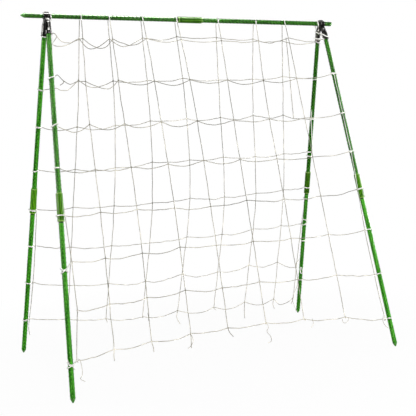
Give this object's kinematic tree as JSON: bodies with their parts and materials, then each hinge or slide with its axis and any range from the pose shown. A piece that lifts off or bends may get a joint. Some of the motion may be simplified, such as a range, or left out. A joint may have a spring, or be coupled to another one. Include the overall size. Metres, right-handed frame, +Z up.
{
  "type": "garden trellis",
  "caption": "Folding A-frame garden trellis of coated stakes joined by ribbed sleeves, with hinge clips on the crossbar and a knotted cord net over both faces for climbing plants.",
  "frame": {"origin": "on the ground under the middle of the object's box: the four leg tips touch z = 0", "axes": "+X along the crossbar from its pointed end to its rounded end, -Y to the front face, +Z up"},
  "size_m": [1.2454, 0.697, 1.2317],
  "materials": {
    "stake_coat": "green plastic coat on steel tube, satin, with small nubs and lengthwise ribs",
    "tip_plastic": "green moulded plastic, satin",
    "sleeve_plastic": "yellower green moulded plastic, satin, with lengthwise ribs",
    "clip_plastic": "black moulded plastic, glossy",
    "net_cord": "off-white two-strand twisted cord, matte"
  },
  "bodies": {
    "crossbar": {"crossbar_left_stake": "stake_coat", "crossbar_left_tip": "tip_plastic", "crossbar_left_cap": "tip_plastic", "crossbar_right_stake": "stake_coat", "crossbar_right_tip": "tip_plastic", "crossbar_right_cap": "tip_plastic", "crossbar_sleeve": "sleeve_plastic"},
    "front_frame": {"front_left_upper_stake": "stake_coat", "front_left_upper_tip": "tip_plastic", "front_left_upper_cap": "tip_plastic", "front_left_lower_stake": "stake_coat", "front_left_lower_tip": "tip_plastic", "front_left_lower_cap": "tip_plastic", "front_left_sleeve": "sleeve_plastic", "front_left_clip": "clip_plastic", "front_right_upper_stake": "stake_coat", "front_right_upper_tip": "tip_plastic", "front_right_upper_cap": "tip_plastic", "front_right_lower_stake": "stake_coat", "front_right_lower_tip": "tip_plastic", "front_right_lower_cap": "tip_plastic", "front_right_sleeve": "sleeve_plastic", "front_right_clip": "clip_plastic", "front_net": "net_cord"},
    "rear_frame": {"rear_left_upper_stake": "stake_coat", "rear_left_upper_tip": "tip_plastic", "rear_left_upper_cap": "tip_plastic", "rear_left_lower_stake": "stake_coat", "rear_left_lower_tip": "tip_plastic", "rear_left_lower_cap": "tip_plastic", "rear_left_sleeve": "sleeve_plastic", "rear_left_clip": "clip_plastic", "rear_right_upper_stake": "stake_coat", "rear_right_upper_tip": "tip_plastic", "rear_right_upper_cap": "tip_plastic", "rear_right_lower_stake": "stake_coat", "rear_right_lower_tip": "tip_plastic", "rear_right_lower_cap": "tip_plastic", "rear_right_sleeve": "sleeve_plastic", "rear_right_clip": "clip_plastic", "rear_net": "net_cord"}
  },
  "joints": [
    {"name": "front_fold", "type": "hinge", "parent": "crossbar", "child": "front_frame", "pos_m": [0, 0, 1.21695], "axis": [1, 0, 0], "range_deg": [0, 14.75]},
    {"name": "rear_fold", "type": "hinge", "parent": "crossbar", "child": "rear_frame", "pos_m": [0, 0, 1.21695], "axis": [-1, 0, 0], "range_deg": [0, 14.75]}
  ]
}
